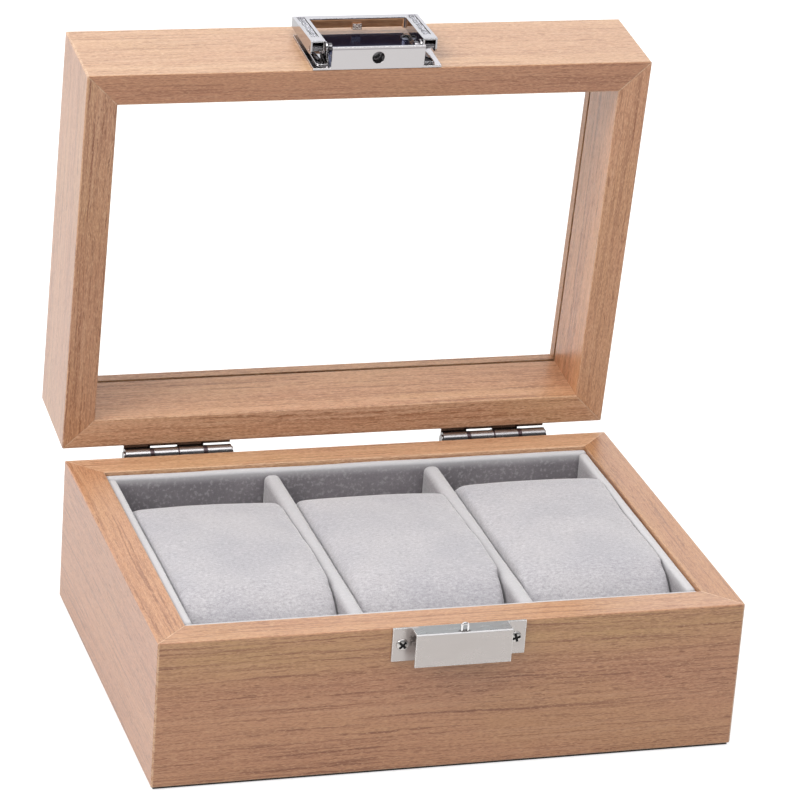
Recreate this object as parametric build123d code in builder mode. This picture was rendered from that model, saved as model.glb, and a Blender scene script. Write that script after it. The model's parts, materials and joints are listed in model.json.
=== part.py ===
from build123d import *
import math
import os

os.makedirs("parts", exist_ok=True)

# A glass-topped wooden display case with three padded bays, shown with its lid standing open.
# The origin is the middle of the underside, X runs to the right, Y to the back and Z up.
# Lid pieces are drawn where they lie with the lid shut, on lid_frame, which stands them open.

# Overall size with the lid shut
box_width = 200.0
box_depth = 143.6
base_height = 52.8
lid_height = 36.2
rim_gap = 0.2
lid_open_angle = 83.6

# Wooden rails, mitred at the corners
base_wall = 11.6
lid_wall = 11.0
edge_round = 0.5
rim_round = 0.3
window_bevel = 4.0

# Bottom board in its rebate, with felt under it
felt_thick = 0.8
felt_inset = 0.8
board_thick = 4.0
board_rebate = 5.0
board_gap = 0.1

# Glass in its groove
glass_thick = 2.0
glass_rise = 26.2
glass_seat = 4.0
groove_depth = 4.5
groove_gap = 0.1

# Padded lining of the base
lining_thick = 3.6
lining_drop = 0.9
lining_round = 1.2
lining_gap = 0.1
floor_pad_thick = 1.6
bay_count = 3
divider_thick = 6.0
divider_drop = 2.0
divider_round = 2.2

# Pillows, one in each bay
pillow_side_gap = 0.4
pillow_seat_gap = 0.3
pillow_front_gap = 4.6
pillow_back_gap = 10.8
pillow_proud = 2.0
pillow_arch = 1.8
pillow_top_round = 21.0
pillow_foot_round = 8.0
pillow_edge_round = 3.0

# Hinges on the back faces
hinge_length = 38.6
hinge_inset = 22.2
knuckle_count = 4
knuckle_gap = 0.2
barrel_radius = 2.7
hinge_pin_radius = 1.0
hinge_pin_head = 0.5
pin_gap = 0.1
leaf_thick = 0.8
leaf_rise = 0.3
leaf_height = 16.0
leaf_corner = 2.0
leaf_screw_inset = 8.0
stop_length = 3.0
stop_reach = 1.6
stop_thick = 1.1
stop_gap = 0.1
stop_clearance = 0.25

# Screws
screw_radius = 0.9
screw_length = 8.0
screw_head_radius = 1.95
screw_head_height = 1.1
screw_head_flat = 1.25
screw_hole_gap = 0.1
screw_slot_length = 2.3
screw_slot_width = 0.55
screw_slot_depth = 0.6

# Catch on the base and latch on the lid share one centre line and one sheet thickness
latch_x = 0.5
sheet_thick = 0.8
sheet_bend = 0.5
fitting_width = 45.4
catch_height = 11.8
hook_width = 32.8
hook_reach = 6.3
hook_drop = 11.8
catch_screw_spread = 38.7
staple_out = 5.3
staple_width = 3.0
staple_height = 3.2
staple_wire = 0.9
staple_sides = 8
staple_hole_out = 4.2
staple_hole_gap = 0.7

latch_height = 27.0
latch_shelf_reach = 8.2
latch_screw_spread = 33.2
latch_screw_rise = 22.5
latch_axis_out = 4.8
latch_axis_rise = 7.5
latch_pin_radius = 0.8
latch_pin_head = 0.5
ear_thick = 0.6
ear_gap = 0.1
ear_foot = 11.0
ear_tip_radius = 2.2

# Bail that swings down over the hook
bail_gap = 0.25
bail_arm = 5.1
bail_tilt = 4.6
bail_front = 3.1
bail_back_near = 2.0
bail_back_far = 0.6
bail_near = 1.5
bail_far = 23.6
bail_bar = 3.3
bail_heel_round = 1.3
bail_edge_round = 0.4
bail_corner = 0.8
bail_recess_width = 2.8
bail_recess_depth = 0.8
bail_recess_start = 2.5
bail_recess_end = 1.1
bail_pocket_width = 3.9
bail_pocket_depth = 3.2
bail_pocket_skin = 0.6
bail_lip = 0.9
bail_undercut = 1.1
bail_boss_width = 3.3
bail_boss_length = 2.2
bail_boss_height = 0.4

# Where things meet
half_width = box_width / 2
half_depth = box_depth / 2
board_low = felt_thick
lining_low = felt_thick + board_thick
floor_top = lining_low + floor_pad_thick
lining_top = base_height - lining_drop
divider_top = base_height - divider_drop
lid_low = base_height + rim_gap
lid_top = lid_low + lid_height
inner_x = half_width - base_wall
inner_y = half_depth - base_wall
bay_end = inner_y - lining_thick
bay_side = inner_x - lining_thick
bay_width = (2 * bay_side - (bay_count - 1) * divider_thick) / bay_count
hinge_y = half_depth + leaf_thick + barrel_radius
hinge_z = lid_low + leaf_rise + leaf_thick - barrel_radius
leaf_edge = barrel_radius - leaf_thick
latch_axis_z = lid_low + latch_axis_rise
arm_inside = hook_width / 2 + ear_gap + ear_thick + bail_gap
arm_outside = arm_inside + bail_arm
screw_hole_radius = screw_radius + screw_hole_gap

# Frames that pieces are drawn on
base_frame = Plane.XY
lid_turn = Pos(0, hinge_y, hinge_z) * Rot(-lid_open_angle, 0, 0) * Pos(0, -hinge_y, -hinge_z)
lid_frame = Plane(lid_turn)
bail_place = Pos(latch_x, -half_depth - latch_axis_out, latch_axis_z) * Rot(-bail_tilt, 0, 0)
bail_frame = Plane(lid_turn * bail_place)


def across(frame, x):
    """A plane square to the frame's width, with its own x towards the back and its y up."""
    return Plane(frame.from_local_coords(Vector(x, 0, 0)), x_dir=frame.y_dir, z_dir=frame.x_dir)


def facing(frame, y):
    """A plane that faces the frame's front, with its own x along the width and its y up."""
    return Plane(frame.from_local_coords(Vector(0, y, 0)), x_dir=frame.x_dir, z_dir=-frame.y_dir)


def turned(frame, angle):
    """The frame turned about its own upright axis."""
    return Plane(frame.location * Rot(0, 0, angle))


def rail(name, frame, angle, length, reach, wall, outline, holes):
    """One mitred rail: its section along the whole length, cut to a plan with 45 degree ends."""
    own = turned(frame, angle)
    half = length / 2
    inner = wall - reach
    tip = edge_round / 2
    with BuildPart() as wood:
        with BuildSketch(across(own, 0)) as section:
            with BuildLine():
                Polyline(*[(inward - reach, height) for inward, height in outline], close=True)
            make_face()
            outer = section.vertices().sort_by(Axis.X)[:2]
            fillet(outer, edge_round)
            inner_rim = section.vertices().group_by(Axis.X)[-1].sort_by(Axis.Y)
            rim = inner_rim[-1] if frame is base_frame else inner_rim[0]
            fillet(rim, rim_round)
        extrude(amount=half, both=True)
        with BuildSketch(own):
            with BuildLine():
                Polyline(
                    (edge_round - half, -reach),
                    (half - edge_round, -reach),
                    (half - tip, tip - reach),
                    (half - wall, inner),
                    (wall - half, inner),
                    (tip - half, tip - reach),
                    close=True,
                )
            make_face()
        extrude(amount=lid_top, mode=Mode.INTERSECT)
        if holes:
            with BuildSketch(facing(own, -reach)):
                with Locations(*holes):
                    Circle(screw_hole_radius)
            extrude(amount=-screw_length - screw_hole_gap, mode=Mode.SUBTRACT)
    wood.part.label = name
    export_step(wood.part, f"parts/{name}.step")


# Screw places as x and height on each face
hinge_reach = half_width - hinge_inset - hinge_length / 2
hinge_centres = [-hinge_reach, hinge_reach]
leaf_screw_reach = hinge_length / 2 - leaf_screw_inset
leaf_screw_xs = [centre + side * leaf_screw_reach for centre in hinge_centres for side in (-1, 1)]
base_leaf_screw_z = hinge_z - leaf_edge - leaf_height / 2
lid_leaf_screw_z = hinge_z + leaf_edge + leaf_height / 2
catch_screw_z = base_height - catch_height / 2
latch_screw_z = lid_low + latch_screw_rise
catch_screw_xs = [latch_x + side * catch_screw_spread / 2 for side in (-1, 1)]
latch_screw_xs = [latch_x + side * latch_screw_spread / 2 for side in (-1, 1)]

# Sections of the rails as distance from the outer face and height
base_outline = [
    (0, board_low),
    (base_wall - board_rebate, board_low),
    (base_wall - board_rebate, lining_low),
    (base_wall, lining_low),
    (base_wall, base_height),
    (0, base_height),
]
groove_low = lid_low + glass_rise
groove_high = groove_low + glass_thick + 2 * groove_gap
lid_outline = [
    (0, lid_low),
    (lid_wall, lid_low),
    (lid_wall, groove_low),
    (lid_wall - groove_depth, groove_low),
    (lid_wall - groove_depth, groove_high),
    (lid_wall, groove_high),
    (lid_wall, lid_top - window_bevel),
    (lid_wall - window_bevel, lid_top),
    (0, lid_top),
]

# The four sides of the case as name, turn, length and distance from the middle
sides = [
    ("front", 0, box_width, half_depth),
    ("right", 90, box_depth, half_width),
    ("back", 180, box_width, half_depth),
    ("left", 270, box_depth, half_width),
]
base_holes = {
    "front": [(x, catch_screw_z) for x in catch_screw_xs],
    "back": [(-x, base_leaf_screw_z) for x in leaf_screw_xs],
}
lid_holes = {
    "front": [(x, latch_screw_z) for x in latch_screw_xs],
    "back": [(-x, lid_leaf_screw_z) for x in leaf_screw_xs],
}
for side_name, angle, length, reach in sides:
    base_side = base_holes.get(side_name)
    lid_side = lid_holes.get(side_name)
    rail(f"base_{side_name}", base_frame, angle, length, reach, base_wall, base_outline, base_side)
    rail(f"lid_{side_name}", lid_frame, angle, length, reach, lid_wall, lid_outline, lid_side)

# Bottom board, set in the rebate of the rails
board_margin = base_wall - board_rebate + board_gap
with BuildPart() as board:
    with BuildSketch(Plane.XY.offset(board_low)):
        Rectangle(box_width - 2 * board_margin, box_depth - 2 * board_margin)
    extrude(amount=board_thick)
board.part.label = "base_board"
export_step(board.part, "parts/base_board.step")

# Felt sheet that the case stands on
with BuildPart() as felt:
    with BuildSketch(Plane.XY):
        Rectangle(box_width - 2 * felt_inset, box_depth - 2 * felt_inset)
    extrude(amount=felt_thick)
felt.part.label = "base_felt"
export_step(felt.part, "parts/base_felt.step")

# Glass pane, in the groove round the lid
glass_margin = lid_wall - glass_seat
with BuildPart() as glass:
    with BuildSketch(lid_frame.offset(groove_low + groove_gap)):
        Rectangle(box_width - 2 * glass_margin, box_depth - 2 * glass_margin)
    extrude(amount=glass_thick)
glass.part.label = "lid_glass"
export_step(glass.part, "parts/lid_glass.step")

# Padded boards that line the walls, the long pair over the ends of the short pair
for side_name, angle, length, reach in sides:
    long_pair = side_name in ("front", "back")
    own = turned(base_frame, angle)
    wall_face = base_wall - reach
    half = inner_x if long_pair else bay_end - lining_gap
    with BuildPart() as lining:
        with BuildSketch(across(own, 0)) as section:
            with BuildLine():
                Polyline(
                    (wall_face, lining_low),
                    (wall_face + lining_thick, lining_low),
                    (wall_face + lining_thick, lining_top),
                    (wall_face, lining_top),
                    close=True,
                )
            make_face()
            fillet(section.vertices().sort_by(Axis.Y)[-2:], lining_round)
        extrude(amount=half, both=True)
    lining.part.label = f"lining_{side_name}"
    export_step(lining.part, f"parts/lining_{side_name}.step")

# Floor pad inside the lining
pad_x = bay_side - lining_gap
pad_y = bay_end - lining_gap
with BuildPart() as pad:
    with BuildSketch(Plane.XY.offset(lining_low)):
        Rectangle(2 * pad_x, 2 * pad_y)
    extrude(amount=floor_pad_thick)
pad.part.label = "floor_pad"
export_step(pad.part, "parts/floor_pad.step")

# Padded dividers between the bays
for number in range(1, bay_count):
    divider_x = number * (bay_width + divider_thick) - divider_thick / 2 - bay_side
    with BuildPart() as divider:
        with BuildSketch(facing(base_frame, 0)) as section:
            with Locations((divider_x, floor_top)):
                Rectangle(divider_thick, divider_top - floor_top, align=(Align.CENTER, Align.MIN))
            fillet(section.vertices().sort_by(Axis.Y)[-2:], divider_round)
        extrude(amount=pad_y, both=True)
    divider.part.label = f"divider_{number}"
    export_step(divider.part, f"parts/divider_{number}.step")

# Pillows: an arched section that runs across the bay and is drawn in at both sides
pillow_front = pillow_front_gap - bay_end
pillow_back = bay_end - pillow_back_gap
pillow_low = floor_top + pillow_seat_gap
pillow_high = base_height + pillow_proud
pillow_half = bay_width / 2 - pillow_side_gap
pillow_face = pillow_half - pillow_edge_round
edge_angles = [0, 40, 90]


def pillow_section(x, shrink):
    """The pillow's side outline at x, shrunk all round."""
    front = pillow_front + shrink
    back = pillow_back - shrink
    low = pillow_low + shrink
    high = pillow_high - shrink
    shoulder = high - pillow_arch
    with BuildSketch(across(base_frame, x), mode=Mode.PRIVATE) as section:
        with BuildLine():
            Line((back, shoulder), (back, low))
            Line((back, low), (front, low))
            Line((front, low), (front, shoulder))
            ThreePointArc((front, shoulder), ((front + back) / 2, high), (back, shoulder))
        make_face()
        corners = section.vertices().sort_by(Axis.Y)
        fillet(corners[:2], pillow_foot_round - shrink)
        tops = section.vertices().sort_by(Axis.Y)[-2:]
        fillet(tops, pillow_top_round - shrink)
    return section.sketch


for number in range(1, bay_count + 1):
    bay_x = (number - 0.5) * bay_width + (number - 1) * divider_thick - bay_side
    with BuildPart() as pillow:
        extrude(pillow_section(bay_x, 0), amount=pillow_face, dir=(1, 0, 0), both=True)
        for side in (-1, 1):
            rounding = []
            for angle in edge_angles:
                out = pillow_face + pillow_edge_round * math.cos(math.radians(angle))
                shrink = pillow_edge_round * (1 - math.sin(math.radians(angle)))
                rounding.append(pillow_section(bay_x + side * out, shrink))
            loft(sections=rounding, ruled=True)
    pillow.part.label = f"pillow_{number}"
    export_step(pillow.part, f"parts/pillow_{number}.step")

# Hinges: two leaves with two knuckles each, a pin, and a lug on each leaf that stops the lid
knuckle_pitch = hinge_length / knuckle_count


def leaf(name, frame, up, centre, first):
    """A leaf on the back face, going up or down, with every other knuckle from the first."""
    starts = [centre - hinge_length / 2 + i * knuckle_pitch for i in range(first, knuckle_count, 2)]
    knuckle_length = knuckle_pitch - knuckle_gap
    plate_end = leaf_edge + leaf_height
    middle = hinge_z + up * (leaf_edge + plate_end) / 2
    meeting = centre - hinge_length / 2 + 2 * knuckle_pitch
    with BuildPart() as made:
        with BuildSketch(facing(frame, half_depth)) as plate:
            with Locations((centre, middle)):
                Rectangle(hinge_length - knuckle_gap, leaf_height)
            far_corners = plate.vertices().sort_by(Axis.Y)
            fillet(far_corners[-2:] if up > 0 else far_corners[:2], leaf_corner)
            screw_xs = [centre - leaf_screw_reach, centre + leaf_screw_reach]
            with Locations(*[(x, middle) for x in screw_xs]):
                Circle(screw_hole_radius, mode=Mode.SUBTRACT)
        extrude(amount=-leaf_thick)
        for start in starts:
            with BuildSketch(across(frame, start + knuckle_gap / 2)):
                with Locations((hinge_y, hinge_z)):
                    Circle(barrel_radius)
                with Locations((half_depth, hinge_z + up * (leaf_edge + leaf_thick / 2))):
                    Rectangle(hinge_y - half_depth, leaf_thick, align=(Align.MIN, Align.CENTER))
            extrude(amount=knuckle_length)
        if up > 0:
            lug_start = meeting + knuckle_gap / 2
            with BuildSketch(across(base_frame, lug_start)):
                with Locations((hinge_y + leaf_edge, hinge_z + stop_gap / 2)):
                    Rectangle(stop_reach + leaf_thick, stop_thick, align=(Align.MIN, Align.MIN))
            extrude(amount=stop_length)
        else:
            root_start = meeting - knuckle_gap / 2 - stop_length
            with BuildSketch(across(base_frame, root_start)):
                with Locations((hinge_y + leaf_edge, hinge_z - stop_gap / 2)):
                    Rectangle(stop_reach + leaf_thick, stop_thick, align=(Align.MIN, Align.MAX))
            extrude(amount=stop_length)
            with BuildSketch(across(base_frame, root_start)):
                with Locations((hinge_y + barrel_radius + stop_clearance, hinge_z - stop_gap / 2)):
                    Rectangle(stop_reach - stop_clearance, stop_thick, align=(Align.MIN, Align.MAX))
            extrude(amount=2 * stop_length + knuckle_gap)
        with BuildSketch(across(frame, centre)):
            with Locations((hinge_y, hinge_z)):
                Circle(hinge_pin_radius + pin_gap)
        extrude(amount=hinge_length / 2, both=True, mode=Mode.SUBTRACT)
    made.part.label = name
    export_step(made.part, f"parts/{name}.step")


for side_name, centre in zip(("left", "right"), hinge_centres):
    leaf(f"hinge_{side_name}_lid_leaf", lid_frame, 1, centre, 0)
    leaf(f"hinge_{side_name}_base_leaf", base_frame, -1, centre, 1)
    with BuildPart() as pin:
        with BuildSketch(across(base_frame, centre)):
            with Locations((hinge_y, hinge_z)):
                Circle(hinge_pin_radius)
        extrude(amount=hinge_length / 2, both=True)
        for end in (-1, 1):
            with BuildSketch(across(base_frame, centre + end * hinge_length / 2)):
                with Locations((hinge_y, hinge_z)):
                    Circle(leaf_edge)
            extrude(amount=end * hinge_pin_head)
    pin.part.label = f"hinge_{side_name}_pin"
    export_step(pin.part, f"parts/hinge_{side_name}_pin.step")

# Catch on the base: a plate, a shelf at the rim and a hook that hangs from it
with BuildPart() as catch:
    with BuildSketch(facing(base_frame, -half_depth)):
        with Locations((latch_x, catch_screw_z)):
            Rectangle(fitting_width, catch_height)
        with Locations(*[(x, catch_screw_z) for x in catch_screw_xs]):
            Circle(screw_hole_radius, mode=Mode.SUBTRACT)
    extrude(amount=sheet_thick)
    hook_face = -half_depth - hook_reach
    with BuildSketch(across(base_frame, latch_x)) as bent:
        with BuildLine():
            Polyline(
                (-half_depth, base_height),
                (hook_face, base_height),
                (hook_face, base_height - hook_drop),
                (hook_face + sheet_thick, base_height - hook_drop),
                (hook_face + sheet_thick, base_height - sheet_thick),
                (-half_depth, base_height - sheet_thick),
                close=True,
            )
        make_face()
        bend = bent.vertices().sort_by(Axis.X)[:2].sort_by(Axis.Y)[-1]
        fillet(bend, sheet_bend)
    extrude(amount=hook_width / 2, both=True)
catch.part.label = "catch"
export_step(catch.part, "parts/catch.step")

# Staple on the catch's shelf, a bent wire that enters the hole of the latch
staple_y = -half_depth - staple_out
bend_radius = (staple_width - staple_wire) / 2
leg = staple_height - staple_wire / 2 - bend_radius
with BuildPart() as staple:
    with BuildLine(facing(base_frame, staple_y)) as bow:
        up_leg = Line((latch_x - bend_radius, base_height), (latch_x - bend_radius, base_height + leg))
        bow_arc = RadiusArc(up_leg @ 1, (latch_x, base_height + leg + bend_radius), bend_radius)
        bow_rest = RadiusArc(bow_arc @ 1, (latch_x + bend_radius, base_height + leg), bend_radius)
        Line(bow_rest @ 1, (latch_x + bend_radius, base_height))
    with BuildSketch(Plane.XY.offset(base_height)):
        with Locations((latch_x - bend_radius, staple_y)):
            RegularPolygon(staple_wire / 2, staple_sides)
    sweep()
staple.part.label = "catch_staple"
export_step(staple.part, "parts/catch_staple.step")

# Latch on the lid: a plate, a shelf at the rim with a hole for the staple, and two ears
latch_axis_y = -half_depth - latch_axis_out
with BuildPart() as latch:
    with BuildSketch(facing(lid_frame, -half_depth)):
        with Locations((latch_x, lid_low + latch_height / 2)):
            Rectangle(fitting_width, latch_height)
        with Locations(*[(x, latch_screw_z) for x in latch_screw_xs]):
            Circle(screw_hole_radius, mode=Mode.SUBTRACT)
    extrude(amount=sheet_thick)
    with BuildSketch(lid_frame.offset(lid_low)):
        with Locations((latch_x, -half_depth)):
            Rectangle(hook_width, latch_shelf_reach, align=(Align.CENTER, Align.MAX))
        with Locations((latch_x, -half_depth - staple_hole_out)):
            Circle(staple_width / 2 + staple_hole_gap, mode=Mode.SUBTRACT)
    extrude(amount=sheet_thick)
    for side in (-1, 1):
        ear_inside = hook_width / 2 + ear_gap
        with BuildSketch(across(lid_frame, latch_x + side * ear_inside)):
            with BuildLine():
                Polyline(
                    (-half_depth, latch_axis_z - ear_foot / 2),
                    (-half_depth, latch_axis_z + ear_foot / 2),
                    (latch_axis_y, latch_axis_z + ear_tip_radius),
                    (latch_axis_y, latch_axis_z - ear_tip_radius),
                    close=True,
                )
            make_face()
            with Locations((latch_axis_y, latch_axis_z)):
                Circle(ear_tip_radius)
                Circle(latch_pin_radius + pin_gap, mode=Mode.SUBTRACT)
        extrude(amount=side * ear_thick)
latch.part.label = "latch_plate"
export_step(latch.part, "parts/latch_plate.step")

# Bail: two arms and a bar, with sunk strips on the arms and a boss that snaps under the hook
with BuildPart() as bail:
    with BuildSketch(across(bail_frame, 0)) as shape:
        with BuildLine():
            Polyline(
                (-bail_front, -bail_near),
                (bail_back_near, -bail_near),
                (bail_back_far, bail_far),
                (-bail_front, bail_far),
                close=True,
            )
        make_face()
        heel = shape.vertices().sort_by(Axis.X)[-1]
        fillet(heel, bail_heel_round)
        fillet(shape.vertices().sort_by(Axis.X)[:2], bail_edge_round)
    extrude(amount=arm_outside, both=True)
    with BuildSketch(facing(bail_frame, 0)) as window:
        with Locations((0, bail_far - bail_bar)):
            Rectangle(2 * arm_inside, 2 * bail_far, align=(Align.CENTER, Align.MAX))
        fillet(window.vertices().sort_by(Axis.Y)[-2:], bail_corner)
    extrude(amount=2 * bail_front, both=True, mode=Mode.SUBTRACT)
    bar_face = bail_far - bail_bar
    with BuildSketch(across(bail_frame, 0)):
        with BuildLine():
            Polyline(
                (bail_lip - bail_front, bar_face),
                (bail_back_near, bar_face),
                (bail_back_near, bar_face + bail_undercut),
                (bail_back_far, bar_face + bail_undercut),
                close=True,
            )
        make_face()
    extrude(amount=arm_inside - bail_corner, both=True, mode=Mode.SUBTRACT)
    arm_middle = (arm_inside + arm_outside) / 2
    recess_length = bail_far - bail_recess_end - bail_recess_start
    with BuildSketch(facing(bail_frame, -bail_front)):
        for side in (-1, 1):
            with Locations((side * arm_middle, bail_recess_start)):
                Rectangle(bail_recess_width, recess_length, align=(Align.CENTER, Align.MIN))
    extrude(amount=-bail_recess_depth, mode=Mode.SUBTRACT)
    with BuildSketch(bail_frame.offset(-bail_near)):
        for side in (-1, 1):
            with Locations((side * arm_middle, bail_pocket_skin - bail_front)):
                Rectangle(bail_pocket_width, bail_front + bail_back_near, align=(Align.CENTER, Align.MIN))
    extrude(amount=bail_pocket_depth, mode=Mode.SUBTRACT)
    with BuildSketch(bail_frame.offset(bar_face + bail_undercut)):
        Rectangle(bail_boss_width, bail_boss_length)
    extrude(amount=-bail_boss_height - bail_undercut)
    with BuildSketch(across(bail_frame, 0)):
        Circle(latch_pin_radius + pin_gap)
    extrude(amount=arm_outside, both=True, mode=Mode.SUBTRACT)
bail.part.label = "latch_bail"
export_step(bail.part, "parts/latch_bail.step")

# Two short pins that carry the bail, each headed on the inner side of its ear
with BuildPart() as pins:
    for side in (-1, 1):
        head_face = latch_x + side * (hook_width / 2 + ear_gap)
        with BuildSketch(across(lid_frame, head_face)):
            with Locations((latch_axis_y, latch_axis_z)):
                Circle(latch_pin_radius)
        extrude(amount=side * (arm_outside - hook_width / 2 - ear_gap))
        with BuildSketch(across(lid_frame, head_face)):
            with Locations((latch_axis_y, latch_axis_z)):
                Circle(latch_pin_radius + latch_pin_head)
        extrude(amount=-side * latch_pin_head)
pins.part.label = "latch_pins"
export_step(pins.part, "parts/latch_pins.step")


def screw_set(name, frame, places):
    """Pan-headed screws with a cross slot; each place is x, its seat's y, z and outward way."""
    tip = screw_length - sheet_thick
    with BuildPart() as screws:
        for x, seat, z, out in places:
            axis = Axis(frame.from_local_coords(Vector(x, seat, z)), frame.y_dir)
            with BuildSketch(across(frame, x)):
                with BuildLine():
                    Polyline(
                        (seat - out * tip, z),
                        (seat - out * tip, z + screw_radius),
                        (seat, z + screw_radius),
                        (seat, z + screw_head_radius),
                        (seat + out * screw_head_height, z + screw_head_flat),
                        (seat + out * screw_head_height, z),
                        close=True,
                    )
                make_face()
            revolve(axis=axis)
        for x, seat, z, out in places:
            with BuildSketch(facing(frame, seat + out * screw_head_height)):
                with Locations((x, z)):
                    Rectangle(screw_slot_length, screw_slot_width)
                    Rectangle(screw_slot_width, screw_slot_length)
            extrude(amount=out * screw_slot_depth, mode=Mode.SUBTRACT)
    screws.part.label = name
    export_step(screws.part, f"parts/{name}.step")


front_seat = -half_depth - sheet_thick
back_seat = half_depth + leaf_thick
screw_set(
    "base_screws",
    base_frame,
    [(x, front_seat, catch_screw_z, -1) for x in catch_screw_xs]
    + [(x, back_seat, base_leaf_screw_z, 1) for x in leaf_screw_xs],
)
screw_set(
    "lid_screws",
    lid_frame,
    [(x, front_seat, latch_screw_z, -1) for x in latch_screw_xs]
    + [(x, back_seat, lid_leaf_screw_z, 1) for x in leaf_screw_xs],
)
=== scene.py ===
import json
import math

import bmesh
import bpy
from mathutils import Matrix, Vector, noise


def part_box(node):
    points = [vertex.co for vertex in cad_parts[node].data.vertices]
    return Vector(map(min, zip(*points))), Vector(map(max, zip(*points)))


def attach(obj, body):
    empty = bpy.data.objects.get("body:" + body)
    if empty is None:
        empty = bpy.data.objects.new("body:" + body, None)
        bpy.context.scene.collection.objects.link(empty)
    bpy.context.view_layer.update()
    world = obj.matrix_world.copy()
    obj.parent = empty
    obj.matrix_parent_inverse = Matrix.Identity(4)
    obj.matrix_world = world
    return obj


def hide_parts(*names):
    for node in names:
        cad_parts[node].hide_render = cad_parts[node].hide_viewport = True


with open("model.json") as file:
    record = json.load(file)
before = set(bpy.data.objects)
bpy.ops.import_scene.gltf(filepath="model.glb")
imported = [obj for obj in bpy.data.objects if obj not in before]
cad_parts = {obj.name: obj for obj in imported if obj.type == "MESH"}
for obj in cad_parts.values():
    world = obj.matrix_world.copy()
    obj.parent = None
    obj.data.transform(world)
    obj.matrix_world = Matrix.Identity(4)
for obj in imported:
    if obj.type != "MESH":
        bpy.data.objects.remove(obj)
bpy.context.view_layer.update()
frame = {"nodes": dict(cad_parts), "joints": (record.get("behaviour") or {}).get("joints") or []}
MM = 0.001

# Joints of the case: the lid on its hinges and the bail on its pins
joints = {joint["name"]: joint for joint in frame["joints"]}
lid_axis = Vector(joints["lid_hinge"]["pos_m"])
lid_angle = math.radians(joints["lid_hinge"]["range_deg"][1])
bail_axis = Vector(joints["bail_pivot"]["pos_m"])
bail_tilt = math.radians(4.6)

# From the shut lid to the open lid and back, and from the bail's own frame to the folded bail
hinge_turn = Matrix.Rotation(-lid_angle, 4, "X")
lid_open = Matrix.Translation(lid_axis) @ hinge_turn @ Matrix.Translation(-lid_axis)
lid_shut = lid_open.inverted()
bail_open = Matrix.Translation(bail_axis) @ Matrix.Rotation(-lid_angle - bail_tilt, 4, "X")

# Places on the shut case, measured from the middle of its underside
board_inset = 6.7 * MM
half_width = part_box("base_board")[1].x + board_inset
half_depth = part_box("base_board")[1].y + board_inset
rim_height = 52.9 * MM
latch_x = bail_axis.x
shelf_high = 53.8 * MM
shelf_edge = -half_depth - 8.2 * MM
staple_y = -half_depth - 5.3 * MM
staple_hole_y = -half_depth - 4.2 * MM


def add_node(tree, kind, inputs, settings):
    """A new node of the tree. Each of its inputs takes a value, a socket or a list of sockets."""
    node = tree.nodes.new(kind)
    for key, value in settings.items():
        setattr(node, key, value)
    for key, value in inputs.items():
        for source in value if isinstance(value, list) else [value]:
            if isinstance(source, bpy.types.NodeSocket):
                tree.links.new(source, node.inputs[key])
            else:
                node.inputs[key].default_value = source
    return node


class Finish:
    """A material with short ways to add nodes and to join them."""

    def __init__(self, name, **values):
        self.material = bpy.data.materials.new(name)
        self.material.use_nodes = True
        self.tree = self.material.node_tree
        self.shader = self.tree.nodes["Principled BSDF"]
        for socket, value in values.items():
            label = socket.replace("_", " ").title().replace("Ior", "IOR")
            self.shader.inputs[label].default_value = value

    def add(self, kind, inputs, **settings):
        return add_node(self.tree, kind, inputs, settings)

    def place(self):
        return self.add("ShaderNodeTexCoord", {}).outputs["Object"]

    def split(self, vector):
        return self.add("ShaderNodeSeparateXYZ", {0: vector}).outputs

    def moved(self, vector, matrix=None, scale=(1, 1, 1)):
        """The vector turned and moved by a matrix, or scaled."""
        turn = matrix.to_euler() if matrix else (0, 0, 0)
        shift = matrix.translation if matrix else (0, 0, 0)
        return self.add("ShaderNodeMapping", {0: vector, 1: shift, 2: turn, 3: scale}).outputs[0]

    def noise(self, vector, scale, detail=2.0, rough=0.5, output=0):
        inputs = {"Vector": vector, "Scale": scale, "Detail": detail, "Roughness": rough}
        return self.add("ShaderNodeTexNoise", inputs).outputs[output]

    def band(self, value, low, high, bottom=0.0, top=1.0):
        """The value spread smoothly from low and high to bottom and top."""
        inputs = {0: value, 1: low, 2: high, 3: bottom, 4: top}
        node = self.add("ShaderNodeMapRange", inputs, interpolation_type="SMOOTHSTEP")
        return node.outputs[0]

    def maths(self, kind, a, b, clamp=False):
        return self.add("ShaderNodeMath", {0: a, 1: b}, operation=kind, use_clamp=clamp).outputs[0]

    def times(self, first, *others):
        for other in others:
            first = self.maths("MULTIPLY", first, other)
        return first

    def gap(self, a, b=0.0):
        """How far apart two values are."""
        return self.maths("ABSOLUTE", self.maths("SUBTRACT", a, b), 0.0)

    def vector_maths(self, kind, a, b, output=0):
        return self.add("ShaderNodeVectorMath", {0: a, 1: b}, operation=kind).outputs[output]

    def distance(self, place, centre, stretch):
        """How far a place is from the centre, with each of the three directions stretched."""
        off = self.vector_maths("MULTIPLY", self.vector_maths("SUBTRACT", place, centre), stretch)
        return self.vector_maths("LENGTH", off, (0, 0, 0), "Value")

    def mix(self, share, a, b, kind="MIX"):
        inputs = {0: share, 6: a, 7: b}
        return self.add("ShaderNodeMix", inputs, data_type="RGBA", blend_type=kind).outputs[2]

    def upright(self):
        """How much the surface faces up."""
        return self.split(self.add("ShaderNodeNewGeometry", {}).outputs["Normal"])[2]

    def rounded(self, radius):
        """The surface's direction with rounded edges, and how near that is to the flat one."""
        soft = self.add("ShaderNodeBevel", {"Radius": radius}, samples=4).outputs[0]
        flat = self.add("ShaderNodeNewGeometry", {}).outputs["Normal"]
        return soft, self.vector_maths("DOT_PRODUCT", soft, flat, "Value")

    def bump(self, height, distance, strength=1.0, normal=None):
        inputs = {"Height": height, "Distance": distance, "Strength": strength}
        if normal is not None:
            inputs["Normal"] = normal
        return self.add("ShaderNodeBump", inputs).outputs[0]

    def link(self, socket, output):
        self.tree.links.new(output, self.shader.inputs[socket])


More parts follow.
